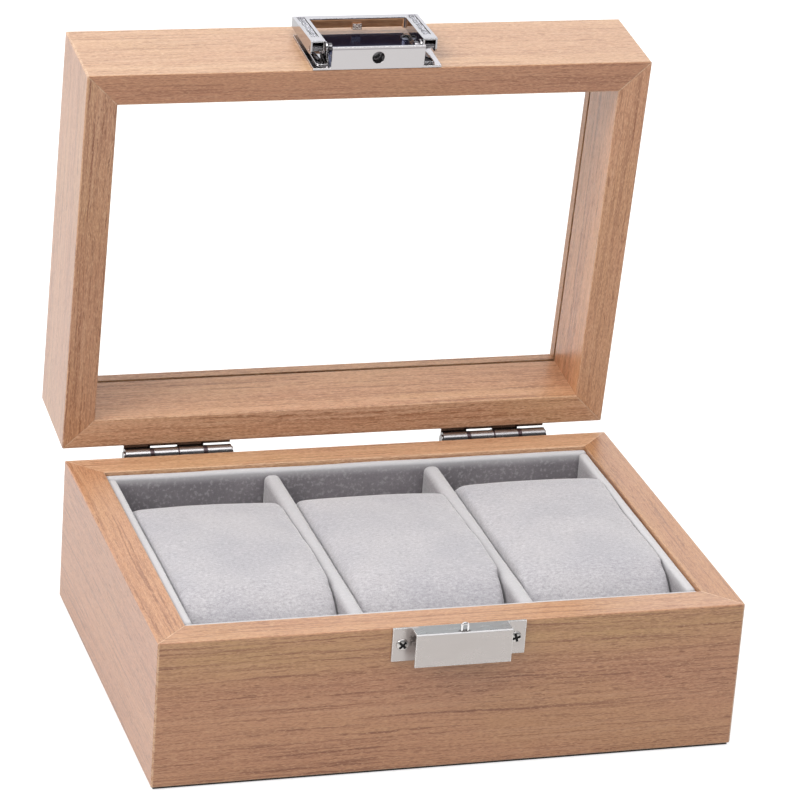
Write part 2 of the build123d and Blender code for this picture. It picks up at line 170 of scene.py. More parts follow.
def tone(red, green, blue):
    """A colour given as it looks on screen, 0 to 255, as the shader takes it."""
    shown = (red, green, blue)
    return (*(((c / 255 + 0.055) / 1.055) ** 2.4 if c > 10 else c / 3295 for c in shown), 1.0)


# No painted light of its own for wood, and no direction for the scratches of metal
plain = (1.0, 1.0, 1.0)


def oak(name, on_lid, turn, shift, bold=0.0, face_light=plain, rim_light=plain, coat=1.0, sunned=0.0):
    """Satin oak veneer. The grain runs along the rail, mitres show a pale line, and corners a pale
    edge that is part wear and part painted highlight.

    The grain is turned and shifted to the rail, and bold darkens its lines. The faces take painted
    light and shade of their own, and so does the rim where the two halves meet. A sunned face has a
    yellower strip below the rim.
    """
    wood = Finish(name, roughness=0.5, coat_weight=coat, coat_roughness=0.3)
    at = wood.place()
    if on_lid:
        at = wood.moved(at, lid_shut)
    x, y, z = wood.split(at)
    off_x = wood.maths("SUBTRACT", half_width, wood.gap(x))
    off_y = wood.maths("SUBTRACT", half_depth, wood.gap(y))
    from_mitre = wood.gap(off_x, off_y)
    grain = wood.moved(at, Matrix.Translation(shift) @ Matrix.Rotation(math.radians(turn), 4, "Z"))
    # slow wander and small jitter of the lines to both sides
    slow = wood.noise(wood.moved(grain, scale=(11, 60, 60)), 1.0, output="Color")
    quick = wood.noise(wood.moved(grain, scale=(160, 420, 420)), 1.0, output="Color")
    line = grain
    for wander, reach in ((slow, 3.2 * MM), (quick, 0.9 * MM)):
        off = wood.vector_maths("SUBTRACT", wander, (0.5, 0.5, 0.5))
        off = wood.vector_maths("MULTIPLY", off, (0.0, reach, reach))
        line = wood.vector_maths("ADD", line, off)

    def drawn_out(vector, along, across, detail=2.0, rough=0.5):
        """Noise drawn out along the grain."""
        return wood.noise(wood.moved(vector, scale=(along, across, across)), 1.0, detail, rough)

    broad = drawn_out(line, 5, 90)
    streak = drawn_out(line, 10, 700, rough=0.6)
    thread = drawn_out(line, 12, 950, 1.0)
    hair = drawn_out(line, 26, 2400, 1.0)
    dash = drawn_out(line, 170, 2100, rough=0.6)
    pore = drawn_out(line, 700, 3600, 1.0)
    cloud = drawn_out(grain, 16, 38)
    colour = wood.mix(wood.band(broad, 0.34, 0.66), tone(196, 141, 107), tone(206, 153, 117))
    colour = wood.mix(wood.band(cloud, 0.45, 0.7, 0.0, 0.5), colour, tone(201, 154, 109))
    if sunned:
        below_rim = wood.times(wood.band(z, 32 * MM, 47 * MM), wood.band(z, 52.6 * MM, 52.0 * MM))
        strip = wood.times(below_rim, wood.band(cloud, 0.3, 0.6, 0.3, sunned))
        colour = wood.mix(strip, colour, tone(204, 168, 112))
    colour = wood.mix(wood.band(streak, 0.46, 0.3, 0.0, 0.45), colour, tone(214, 168, 136))
    colour = wood.mix(wood.band(streak, 0.52, 0.66, 0.0, 0.38 + bold), colour, tone(160, 106, 74))
    # thin dark lines, stronger in some stretches of the rail
    lively = wood.band(broad, 0.62, 0.42, 0.3, 1.0)
    threads = wood.band(thread, 0.58, 0.68, 0.0, 0.8 + bold)
    threads = wood.times(threads, wood.band(streak, 0.36, 0.6, 0.35, 1.0))
    colour = wood.mix(threads, colour, tone(138, 79, 42))
    hairs = wood.band(hair, 0.55, 0.72, 0.0, 0.55)
    colour = wood.mix(hairs, colour, tone(148, 92, 54))
    dashes = wood.times(wood.band(dash, 0.57, 0.68, 0.0, 0.88 + min(bold, 0.0)), lively)
    colour = wood.mix(dashes, colour, tone(140, 84, 46))
    flecks = wood.band(pore, 0.54, 0.68, 0.0, 0.45)
    colour = wood.mix(flecks, colour, tone(150, 98, 66))
    glints = wood.band(pore, 0.47, 0.3, 0.0, 0.6)
    colour = wood.mix(glints, colour, tone(222, 178, 142))
    # painted light and shade: the faces and the rim are each multiplied by their own colour
    on_rim = wood.band(wood.gap(z, rim_height), 0.3 * MM, 0.15 * MM)
    painted_light = wood.mix(on_rim, (*face_light, 1), (*rim_light, 1))
    colour = wood.mix(1.0, colour, painted_light, "MULTIPLY")
    # pale edges, part wear and part painted highlight, and mitre lines
    rounded, facing = wood.rounded(0.45 * MM)
    chip = wood.noise(at, 420.0, 2.0, 0.6)
    chipped_and_highlit = wood.times(wood.band(facing, 0.992, 0.93), wood.band(chip, 0.36, 0.6, 0.25, 0.85))
    mitre = wood.band(from_mitre, 0.42 * MM, 0.1 * MM)
    mitre = wood.times(mitre, wood.band(chip, 0.35, 0.62, 0.0, 0.38))
    colour = wood.mix(wood.maths("MAXIMUM", chipped_and_highlit, mitre), colour, tone(232, 198, 164))
    wood.link("Base Color", colour)
    wood.link("Roughness", wood.band(dash, 0.3, 0.7, 0.4, 0.54))
    relief = wood.maths("ADD", wood.times(threads, -0.5), wood.times(flecks, -0.6))
    wood.link("Normal", wood.bump(relief, 0.12 * MM, 0.6, rounded))
    return wood.material


def velvet(name, light, dark, seed=0.0, rim=None):
    """Short-pile velvet: patches where the pile lies another way, fine fibres and a pale sheen.

    A rim is a paler colour painted near the top of the case: painted light, which reaches the top
    of the lining more than its depths.
    """
    sheen = {"sheen_weight": 0.75, "sheen_roughness": 0.4, "specular_ior_level": 0.1}
    cloth = Finish(name, roughness=0.95, **sheen)
    at = cloth.moved(cloth.place(), Matrix.Translation((seed, seed * 2, 0)))
    nap = cloth.noise(at, 38.0)
    sweep = cloth.noise(cloth.moved(at, scale=(1, 0.35, 1)), 150.0)
    fibre = cloth.noise(at, 3000.0, 2.0, 0.75)
    weave = cloth.noise(cloth.moved(at, scale=(1, 2, 1)), 800.0, 2.0, 0.6)
    colour = cloth.mix(cloth.band(nap, 0.3, 0.7), dark, light)
    colour = cloth.mix(cloth.band(sweep, 0.5, 0.72, 0.0, 0.2), colour, dark)
    colour = cloth.mix(cloth.band(fibre, 0.35, 0.7, 0.3, 0.0), colour, tone(104, 100, 106))
    colour = cloth.mix(cloth.band(weave, 0.52, 0.7, 0.0, 0.32), colour, tone(120, 116, 122))
    colour = cloth.mix(cloth.band(weave, 0.48, 0.32, 0.0, 0.22), colour, tone(222, 220, 222))
    # painted light: the cloth turns paler towards the top of the case
    if rim:
        height = cloth.split(at)[2]
        colour = cloth.mix(cloth.band(height, 47.5 * MM, 52 * MM, 0.0, 0.85), colour, rim)
    cloth.link("Base Color", colour)
    cloth.link("Normal", cloth.bump(fibre, 0.22 * MM, 0.5))
    return cloth.material


def metal(name, colour, roughness, along=plain, wear=0.06, edge=0.0, bend=0.18, corner=0.2, **more):
    """Plated metal: faint scratches, a cloudy polish, painted shade in inner corners and painted
    highlights on edges.

    The scratches run along the direction with the smallest number. The edge is how bright the
    painted highlight on the edges is, bend the edges' radius in millimetres and corner how bright
    the painted shade leaves the inner corners. More can be a painted reflection for the faces that
    lie flat, and marks, which paint shade, reflections, highlights and grime into the look and may
    add a matt paint.
    """
    plate = Finish(name, metallic=1.0)
    at = plate.place()
    scratch = plate.noise(plate.moved(at, scale=along), 900.0, 3.0, 0.6)
    cloud = plate.noise(at, 160.0, 3.0, 0.5)
    scratches = plate.band(scratch, 0.35, 0.7, 0.0, wear)
    gloss = plate.maths("ADD", scratches, plate.band(cloud, 0.3, 0.7, 0.0, wear))
    plate.link("Roughness", plate.maths("ADD", gloss, roughness))
    rounded, facing = plate.rounded(bend * MM)
    plate.link("Normal", plate.bump(scratch, 0.02 * MM, 0.35, rounded))
    look = colour
    # painted reflection: faces that lie flat take another colour
    if "tint" in more:
        look = plate.mix(plate.band(plate.upright(), 0.7, 0.9), look, more["tint"])
    painted = None
    if "marks" in more:
        look, painted = more["marks"](plate, at, look)
    # painted shade: inner corners are darkened
    corners = plate.add("ShaderNodeAmbientOcclusion", {"Distance": 1.6 * MM}, samples=6)
    corner_shade = (colour[0] * corner, colour[1] * corner * 0.8, colour[2] * corner * 0.7, 1)
    look = plate.mix(plate.band(corners.outputs["AO"], 0.2, 0.75), corner_shade, look)
    # painted highlight on the rounded edges
    if edge:
        look = plate.mix(plate.band(facing, 0.985, 0.9, 0.0, edge), look, tone(252, 250, 248))
    if painted:
        share, paint = painted
        look = plate.mix(share, look, paint)
        plate.link("Metallic", plate.maths("SUBTRACT", 1.0, share))
    plate.link("Base Color", look)
    return plate.material


def latch_marks(plate, at, look):
    """Painted dark reflection on the plate behind the shelf, dark blue and partly matt, and a line
    pressed along the shelf's edge.
    """
    x, y, z = plate.split(plate.moved(at, lid_shut))
    plate_face = -half_depth - 1.0 * MM
    ear_inside = 16.9 * MM
    pressed_y = shelf_edge + 0.75 * MM
    # painted dark reflection, dark blue, on the plate behind the shelf
    dark_reflection = plate.times(
        plate.band(z, shelf_high + 0.1 * MM, shelf_high + 0.5 * MM),
        plate.band(y, plate_face - 0.4 * MM, plate_face),
        plate.band(plate.gap(x, latch_x), ear_inside, ear_inside - 0.5 * MM),
    )
    look = plate.mix(dark_reflection, look, tone(24, 36, 72))
    pressed = plate.times(plate.band(plate.gap(y, pressed_y), 0.26 * MM, 0.1 * MM), 0.55)
    look = plate.mix(pressed, look, tone(120, 112, 118))
    return look, (plate.times(dark_reflection, 0.14), tone(28, 42, 92))


def bail_marks(plate, at, look):
    """Brown paint on the bar's inner face, standing in for the shaded wood seen under the bar, and
    pale paint over the shade at the far ends of the arms' recesses.
    """
    x, y, z = plate.split(plate.moved(at, bail_open.inverted()))
    bar_near, bar_far, bar_lip = 20.2 * MM, 21.6 * MM, -2.8 * MM
    arm_inside = 17.3 * MM
    recess_near, recess_far = 22.3 * MM, 22.6 * MM
    recess_lip, recess_floor = -3.09 * MM, -2.2 * MM
    # painted shade: brown standing in for the shaded wood seen under the bar
    bar_inside = plate.times(
        plate.band(z, bar_near, bar_near + 0.05 * MM),
        plate.band(z, bar_far, bar_far - 0.1 * MM),
        plate.band(plate.gap(x), arm_inside, arm_inside - 0.1 * MM),
        plate.band(y, bar_lip, bar_lip + 0.2 * MM),
    )
    # painted light: pale over the shade at the far ends of the recesses
    recess_end = plate.times(
        plate.band(z, recess_near, recess_near + 0.1 * MM),
        plate.band(z, recess_far, recess_far - 0.05 * MM),
        plate.band(y, recess_lip, recess_lip + 0.04 * MM),
        plate.band(y, recess_floor, recess_floor - 0.05 * MM),
    )
    brown_streaks = plate.noise(plate.moved(at, scale=(0.3, 1, 1)), 900.0)
    paint = plate.mix(plate.band(brown_streaks, 0.35, 0.65), tone(186, 136, 98), tone(208, 158, 118))
    paint = plate.mix(recess_end, paint, tone(206, 204, 212))
    return look, (plate.maths("MAXIMUM", bar_inside, recess_end), paint)


def hinge_marks(plate, at, look):
    """Painted shade: darker, browner flat leaves beside the bright barrel."""
    from_pin = plate.distance(at, (0, lid_axis.y, lid_axis.z), (0, 1, 1))
    past_barrel = plate.band(from_pin, 2.75 * MM, 2.95 * MM)
    beside = plate.times(past_barrel, plate.band(from_pin, 6.5 * MM, 5.0 * MM))
    return plate.mix(beside, look, tone(92, 66, 50)), None


def catch_marks(plate, at, look):
    """Painted highlight on the hook's bend, dark round the staple's root (grime and painted shade),
    and beside the left screw a matt grey painted over the plate's reflection, with painted shade
    marks.
    """
    x, y, z = plate.split(at)
    low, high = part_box("catch")
    front, top = low.y, high.z
    plate_face = -half_depth - 1.1 * MM
    hook_side = -13.6 * MM
    shade_marks_low, shade_marks_high = 45.9 * MM, 50.6 * MM
    from_root = plate.distance(at, (latch_x, staple_y, top), (0.55, 1.0, 1.0))
    # dark round the staple's root: grime and painted shade
    grime_and_shade = plate.times(
        plate.band(from_root, 1.4 * MM, 0.8 * MM, 0.0, 0.85),
        plate.band(y, front + 0.15 * MM, front + 0.3 * MM),
    )
    look = plate.mix(grime_and_shade, look, tone(70, 66, 66))
    # painted highlight along the hook's bend
    bend_highlight = plate.times(
        plate.band(z, top - 0.6 * MM, top - 0.4 * MM),
        plate.band(y, front + 0.3 * MM, front + 0.2 * MM),
    )
    # beside the hook: a matt grey painted in place of the plate's reflection
    beside_hook = plate.times(
        plate.band(x, hook_side, hook_side - 0.3 * MM),
        plate.band(x, -19.0 * MM, -16.0 * MM, 0.0, 0.85),
        plate.band(y, plate_face - 0.3 * MM, plate_face),
    )
    # painted shade marks beside the left screw
    shade_marks = plate.times(
        beside_hook,
        plate.band(x, -16.9 * MM, -15.8 * MM),
        plate.band(z, shade_marks_low, shade_marks_low + 1.0 * MM),
        plate.band(z, shade_marks_high, shade_marks_high - 0.8 * MM),
        plate.band(plate.noise(at, 620.0, 3.0, 0.6), 0.42, 0.52),
    )
    paint = plate.mix(shade_marks, tone(172, 161, 157), tone(58, 48, 44))
    paint = plate.mix(bend_highlight, paint, tone(214, 212, 213))
    share = plate.maths("MAXIMUM", beside_hook, shade_marks)
    return look, (plate.maths("MAXIMUM", bend_highlight, share), paint)


def boss_marks(plate, at, look):
    """Painted glints: bright speckles on a dark brown ground, where the points stand on the bar's
    boss.
    """
    x = plate.split(plate.moved(at, bail_open.inverted()))[0]
    on_boss = plate.band(plate.gap(x), 3.2 * MM, 3.0 * MM)
    speckle = plate.noise(at, 2600.0, 1.0)
    paint = plate.mix(plate.band(speckle, 0.42, 0.56), tone(120, 88, 74), tone(248, 236, 226))
    return look, (on_boss, paint)


def screw_marks(plate, at, look):
    """The heads on the latch's plate take a painted dark reflection, like the plate."""
    x, y, z = plate.split(plate.moved(at, lid_shut))
    on_latch = plate.times(
        plate.band(y, -half_depth + 8 * MM, -half_depth + 7 * MM),
        plate.band(z, 53 * MM, 54 * MM),
        plate.band(y, -half_depth - 6 * MM, -half_depth - 5 * MM),
    )
    return plate.mix(on_latch, look, tone(96, 98, 108)), None


def dress(node, material):
    mesh = frame["nodes"][node].data
    mesh.materials.clear()
    mesh.materials.append(material)


# Wood: each rail has its own stretch of grain, and painted light and shade for its faces and for
# its rim
rail_turns = {"front": 0, "right": -90, "back": 180, "left": 90}
painted_light_by_rail = {
    "base_front": ((0.75, 0.68, 0.59), (0.8, 0.79, 0.71)),
    "base_left": ((0.78, 0.665, 0.54), (0.8, 0.755, 0.67)),
    "base_right": ((0.71, 0.65, 0.51), (0.69, 0.615, 0.43)),
    "base_back": ((0.99, 1.08, 1.08), (0.99, 1.08, 1.08)),
    "lid_front": ((0.89, 1.0, 0.98), (0.81, 0.72, 0.63)),
    "lid_left": ((0.865, 0.845, 0.81), (0.89, 0.89, 0.85)),
    "lid_right": ((1.04, 0.94, 0.79), (0.99, 0.97, 0.96)),
    "lid_back": ((0.99, 1.0, 0.96), (1.07, 1.19, 1.27)),
}
bold = {"lid_left": 0.12, "lid_front": -0.3, "lid_right": 0.1, "base_front": 0.05}
coats = {"lid_right": 0.6, "lid_back": 0.6}
sunned = {"base_front": 0.6}
for part, on_lid in (("base", False), ("lid", True)):
    for number, (side, rail_turn) in enumerate(rail_turns.items()):
        rail = f"{part}_{side}"
        stretch = (0.37 * number + 0.2 * on_lid, 0.61 * number + 0.11 * on_lid, 0.23 * number)
        own = (bold.get(rail, 0.0), *painted_light_by_rail[rail], coats.get(rail, 1.0), sunned.get(rail, 0.0))
        dress(rail, oak(f"oak_{rail}", on_lid, rail_turn, stretch, *own))
dress("base_board", oak("oak_board", False, 0, (0.5, 0.9, 0.4)))

felt = Finish("dark_felt", roughness=0.95, sheen_weight=0.2)
felt_fibre = felt.noise(felt.place(), 1500.0, 3.0, 0.7)
felt_colour = felt.mix(felt.band(felt_fibre, 0.3, 0.7), tone(38, 34, 32), tone(66, 60, 56))
felt.link("Base Color", felt_colour)
felt.link("Normal", felt.bump(felt_fibre, 0.3 * MM, 0.7))
dress("base_felt", felt.material)

# Metal fittings, scratched along the case or all over
lengthwise = (0.2, 1, 1)
silver = (0.53, 0.52, 0.53, 1)
chrome = metal("chrome_plate", silver, 0.07, lengthwise, 0.04, edge=0.5)
bail_chrome = metal("chrome_bail", silver, 0.07, lengthwise, 0.04, edge=0.5, marks=bail_marks)
pale = (0.62, 0.595, 0.6, 1)
latch_chrome = metal("chrome_latch", pale, 0.1, lengthwise, 0.05, edge=0.7, marks=latch_marks)
steel = metal("polished_steel", (0.36, 0.345, 0.345, 1), 0.2, (0.15, 1, 1), 0.05, marks=hinge_marks)
nickel = metal(
    "satin_nickel",
    (0.55, 0.51, 0.49, 1),
    0.24,
    (0.08, 1, 1),
    0.08,
    edge=1.0,
    bend=0.55,
    corner=0.75,
    tint=(0.45, 0.46, 0.475, 1),
    marks=catch_marks,
)
bright_wire = metal("bright_wire", (0.95, 0.94, 0.93, 1), 0.12, wear=0.03)
warm_silver, cold_silver = (0.66, 0.64, 0.62, 1), (0.6, 0.6, 0.63, 1)
screw_steel = metal("screw_steel", warm_silver, 0.3, wear=0.08, edge=0.4, marks=screw_marks)
knurl_chrome = metal("knurled_chrome", cold_silver, 0.1, wear=0.05, corner=0.1, marks=boss_marks)
dark_steel = metal("dark_steel", (0.3, 0.29, 0.3, 1), 0.16)
joint_steel = metal("joint_steel", (0.09, 0.065, 0.07, 1), 0.3)
dress("latch_pins", dark_steel)
dress("latch_bail", bail_chrome)
dress("latch_plate", latch_chrome)
dress("catch", nickel)
dress("catch_staple", bright_wire)
dress("base_screws", screw_steel)
dress("lid_screws", screw_steel)
for side in ("left", "right"):
    for part in ("base_leaf", "lid_leaf", "pin"):
        dress(f"hinge_{side}_{part}", steel)

# Glass with a faint green body and a trace of dust
glass = Finish("clear_glass", base_color=(0.985, 1.0, 0.992, 1), transmission_weight=1.0, ior=1.45)
dust = glass.noise(glass.place(), 60.0, 4.0, 0.6)
glass.link("Roughness", glass.band(dust, 0.45, 0.8, 0.0, 0.03))
dress("lid_glass", glass.material)

# Velvet
pile_light, pile_dark = tone(150, 144, 148), tone(134, 129, 133)
# the lining's rim colour is painted light near the top of the case
velvet_lining = velvet("velvet_lining", pile_light, pile_dark, rim=tone(197, 196, 198))
velvet_pillow = velvet("velvet_pillow", tone(187, 184, 187), tone(175, 173, 178), 3.0)


def new_piece(name, mesh, body, slot, material, *replaced):
    """A finished piece at the origin, on its body, for the nodes that it replaces. Its slot is not
    used.
    """
    piece = bpy.data.objects.new(name, mesh)
    bpy.context.scene.collection.objects.link(piece)
    if material:
        mesh.materials.clear()
        mesh.materials.append(material)
    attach(piece, body)
    if replaced:
        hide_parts(*replaced)
    return piece


def mesh_of(name, form):
    """The worked form as a mesh."""
    mesh = bpy.data.meshes.new(name)
    form.to_mesh(mesh)
    form.free()
    return mesh


def plain_mesh(item, keep_layers=False):
    """The item's shape with its modifiers worked in, as a mesh of its own."""
    depsgraph = bpy.context.evaluated_depsgraph_get()
    options = {"preserve_all_data_layers": keep_layers, "depsgraph": depsgraph}
    return bpy.data.meshes.new_from_object(item.evaluated_get(depsgraph), **options)


def smooth(mesh, angle):
    mesh.polygons.foreach_set("use_smooth", [True] * len(mesh.polygons))
    mesh.set_sharp_from_angle(angle=angle)


def padded_board(name, node, rounding, puff, seed):
    """A board under velvet: the node's box with rounded edges, full faces and an uneven skin."""
    low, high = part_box(node)
    size = high - low
    middle = (low + high) / 2
    form = bmesh.new()
    bmesh.ops.create_cube(form, size=1.0)
    bmesh.ops.scale(form, vec=size, verts=form.verts)
    bmesh.ops.translate(form, vec=middle, verts=form.verts)
    edges = [e for e in form.edges if max(v.co.z for v in e.verts) > high.z - 1e-6]
    bmesh.ops.bevel(form, geom=edges, offset=rounding, segments=4, profile=0.5, affect="EDGES")
    spacing = 4 * MM
    for axis in range(3):
        count = int(size[axis] / spacing)
        for i in range(1, count):
            cut = Vector(low)
            cut[axis] += size[axis] * i / count
            normal = Vector((0, 0, 0))
            normal[axis] = 1
            geometry = form.verts[:] + form.edges[:] + form.faces[:]
            bmesh.ops.bisect_plane(form, geom=geometry, plane_co=cut, plane_no=normal)
    thin = min(range(3), key=lambda i: size[i])
    for v in form.verts:
        away = v.co - middle
        fullness = 1.0
        for i in range(3):
            if i != thin:
                fullness *= 1 - abs(2 * away[i] / size[i]) ** 6
        lump = noise.noise(v.co * 55 + Vector((seed, 0, 0))) * 0.5 + 0.5
        v.co[thin] -= math.copysign(puff * (1 - fullness) + puff * 0.5 * lump, away[thin])
        dip = 0.2 * MM * (noise.noise(v.co * 40 + Vector((0, seed, 0))) + 1)
        v.co.z -= dip * (v.co.z > middle.z)
    bmesh.ops.recalc_face_normals(form, faces=form.faces)
    mesh = mesh_of(name, form)
    smooth(mesh, math.radians(60))
    piece = new_piece(name, mesh, "base", "grey_velvet", velvet_lining, node)
    return piece


boards = ["lining_front", "lining_right", "lining_back", "lining_left", "divider_1", "divider_2"]
for seed, node in enumerate(boards):
    rounding = 2.1 * MM if node.startswith("divider") else 1.1 * MM
    padded_board(f"velvet_{node}", node, rounding, 0.15 * MM, seed * 7.0)
padded_board("velvet_floor_pad", "floor_pad", 0.5 * MM, 0.1 * MM, 60.0)


def pillow_outline(low, high, shrink):
    """The pillow's outline from the side, from its back foot past the front to its back top."""
    front, back = low.y + shrink, high.y - shrink
    foot, top = low.z + shrink, high.z - shrink
    rounds = (8 * MM, 8 * MM, 22 * MM, 17 * MM)
    corners = list(zip((back, front, front, back), (foot, foot, top, top), rounds))
    starts = (0, -90, 180, 90)
    points = []
    for i, (y, z, radius) in enumerate(corners):
        radius = max(radius - shrink, 1.5 * MM)
        middle_y = y + math.copysign(radius, -y)
        middle_z = z + (radius if i < 2 else -radius)
        for k in range(13):
            turn = math.radians(starts[i] - 90 * k / 12)
            points.append((middle_y + radius * math.cos(turn), middle_z + radius * math.sin(turn)))
        next_y, next_z, next_radius = corners[(i + 1) % 4]
        next_radius = max(next_radius - shrink, 1.5 * MM)
        end_y = next_y + math.copysign(next_radius, -next_y) if i in (0, 2) else y
        end_z = z if i in (0, 2) else next_z + (next_radius if i == 3 else -next_radius)
        last_y, last_z = points[-1]
        for k in range(1, 10):
            points.append((last_y + (end_y - last_y) * k / 10, last_z + (end_z - last_z) * k / 10))
    return points


def step(value, low, high):
    """0 below low, 1 above high, and smooth between them."""
    share = min(max((value - low) / (high - low), 0.0), 1.0)
    return share * share * (3 - 2 * share)


# How each pillow has settled: lean of its left and right edge over the dividers, and its back's sag
settled = {
    1: (-0.2 * MM, 1.7 * MM, 2.0 * MM),
    2: (1.7 * MM, 2.9 * MM, 2.0 * MM),
    3: (0.1 * MM, 1.5 * MM, -0.3 * MM),
}


def blown(name, form, reach):
    """The form as an even cover that its filling blows out as cloth, by the reach at most."""
    cover = bpy.data.objects.new(name, mesh_of(name, form))
    bpy.context.scene.collection.objects.link(cover)
    even = cover.modifiers.new("even", "REMESH")
    even.mode = "VOXEL"
    even.voxel_size = 2.2 * MM
    even.adaptivity = 0.0
    cover.data = plain_mesh(cover)
    cover.modifiers.clear()
    start = [vertex.co.copy() for vertex in cover.data.vertices]
    moves = [Vector()] * len(start)
    cloth = cover.modifiers.new("cloth", "CLOTH")
    cloth.settings.quality = 5
    cloth.settings.use_pressure = True
    cloth.settings.uniform_pressure_force = 4
    cloth.settings.effector_weights.gravity = 0
    frames = 20
    cloth.point_cache.frame_end = frames
    for number in range(1, frames + 1):
        bpy.context.scene.frame_set(number)
    swelled = plain_mesh(cover)
    moves = [vertex.co - before for vertex, before in zip(swelled.vertices, start)]
    largest = sorted(move.length for move in moves)[-len(moves) // 50]
    moves = [move * min(reach / largest, reach / max(move.length, 1e-9)) for move in moves]
    cover.modifiers.clear()
    bpy.context.scene.frame_set(1)
    for vertex, before, move in zip(cover.data.vertices, start, moves):
        vertex.co = before + Vector((move.x * 0.25, move.y, move.z))
    cover.data.update()
    return cover


def bridge(form, a, b):
    """A band of faces between two rings of points. A ring of one point closes the end."""
    for k in range(max(len(a), len(b))):
        corners = (a[k % len(a)], a[(k + 1) % len(a)], b[(k + 1) % len(b)], b[k % len(b)])
        form.faces.new(list(dict.fromkeys(corners)))


def pillow_form(low, high):
    """The pillow before it is filled: its side outline carried across, with rounded edges."""
    middle_x = (low.x + high.x) / 2
    edge, inset = 1.8 * MM, 0.45 * MM
    flat = (high.x - low.x) / 2 - edge
    rings = [(flat * i / 12, 0.0) for i in range(12)]
    for k in range(9):
        turn = math.radians(90) * k / 8
        rings.append((flat + edge * math.sin(turn), edge * (1 - math.cos(turn))))
    rings = [(-x, shrink) for x, shrink in reversed(rings[1:])] + rings
    form = bmesh.new()
    loops = []
    for x, shrink in rings:
        outline = pillow_outline(low, high, shrink + inset)
        loops.append([form.verts.new((middle_x + x, y, z)) for y, z in outline])
    for a, b in zip(loops, loops[1:]):
        bridge(form, a, b)
    for outer in (loops[0], loops[-1]):
        end = outer
        centre = sum((v.co for v in end), Vector()) / len(end)
        for share in (0.97, 0.94, 0.9, 0.85, 0.78, 0.6, 0.35, 0.12):
            inner = [form.verts.new(centre + (v.co - centre) * share) for v in end]
            bridge(form, outer, inner)
            outer = inner
        form.faces.new(outer)
    bmesh.ops.recalc_face_normals(form, faces=form.faces)
    return form


def pillow(number):
    """A firm velvet pillow: crowned, its sides drawn in, leaning and sagging a little from use."""
    node = f"pillow_{number}"
    low, high = (Vector(corner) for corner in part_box(node))
    high.z -= 0.9 * MM
    middle_x = (low.x + high.x) / 2
    half = (high.x - low.x) / 2
    divider_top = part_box("divider_1")[1].z
    cover = blown(f"pillow_cover_{number}", pillow_form(low, high), 0.9 * MM)
    left_lean, right_lean, sag = settled[number]
    seed = Vector((number * 3.7, number * 1.9, 0))
    moves = []
    for v in cover.data.vertices:
        across = (v.co.x - middle_x) / half
        above = step(v.co.z, divider_top + 0.2 * MM, divider_top + 2.6 * MM)
        toward_back = 1 - 0.55 * step(-v.co.y, 5 * MM, 45 * MM)
        lean = (left_lean * (1 - across) + right_lean * (1 + across)) / 2 * above * toward_back
        height = step(v.co.z, low.z + 15 * MM, high.z - 4 * MM)
        crown = 0.7 * MM * across**2 * height
        drop = sag * step(v.co.y, -5 * MM, 32 * MM) * height + crown
        hollow = noise.noise(v.co * 38 + seed) * 0.3 + noise.noise(v.co * 90 + seed) * 0.1
        inward = v.normal * (0.1 + hollow) * 0.6 * MM
        moves.append(Vector((lean, 0, -drop)) - inward)
    for v, move in zip(cover.data.vertices, moves):
        v.co += move
    finer = cover.modifiers.new("finer", "SUBSURF")
    finer.levels = finer.render_levels = 1
    mesh = plain_mesh(cover)
    bpy.data.objects.remove(cover)
    mesh.name = f"velvet_{node}"
    smooth(mesh, math.radians(180))
    piece = new_piece(f"velvet_{node}", mesh, node, "grey_velvet", velvet_pillow, node)
    return piece


for number in (1, 2, 3):
    pillow(number)


class Nodes:
    """A node group that makes geometry, with named inputs. An added node gives its first output."""

    def __init__(self, name, **inputs):
        self.tree = bpy.data.node_groups.new(name, "GeometryNodeTree")
        face = self.tree.interface
        face.new_socket("Geometry", in_out="INPUT", socket_type="NodeSocketGeometry")
        for key, value in inputs.items():
            label = key.replace("_", " ").title()
            socket = face.new_socket(label, in_out="INPUT", socket_type="NodeSocketFloat")
            socket.default_value = value
        face.new_socket("Geometry", in_out="OUTPUT", socket_type="NodeSocketGeometry")
        self.given = self.tree.nodes.new("NodeGroupInput").outputs
        self.result = self.tree.nodes.new("NodeGroupOutput").inputs

    def add(self, kind, inputs, **settings):
        return add_node(self.tree, kind, inputs, settings).outputs[0]

    def maths(self, kind, a, b):
        return self.add("ShaderNodeMath", {0: a, 1: b}, operation=kind)

    def vector(self, x=0.0, y=0.0, z=0.0):
        return self.add("ShaderNodeCombineXYZ", {0: x, 1: y, 2: z})

    def cube(self, x, y, z):
        return self.add("GeometryNodeMeshCube", {"Size": self.vector(x, y, z)})

    def moved(self, geometry, shift=(0, 0, 0), turn=(0, 0, 0), size=(1, 1, 1)):
        inputs = {"Geometry": geometry, "Translation": shift, "Rotation": turn, "Scale": size}
        return self.add("GeometryNodeTransform", inputs)

    def joined(self, *shapes):
        return self.add("GeometryNodeJoinGeometry", {0: list(shapes)})

    def coated(self, geometry, material):
        return self.add("GeometryNodeSetMaterial", {"Geometry": geometry, "Material": material})

    def cut(self, body, cutters):
        inputs = {"Mesh 1": body, "Mesh 2": cutters}
        return self.add("GeometryNodeMeshBoolean", inputs, operation="DIFFERENCE", solver="EXACT")

    def realized(self, geometry):
        return self.add("GeometryNodeRealizeInstances", {"Geometry": geometry})

    def finish(self, geometry, material=None):
        geometry = self.realized(geometry)
        if material:
            geometry = self.coated(geometry, material)
        self.tree.links.new(geometry, self.result[0])


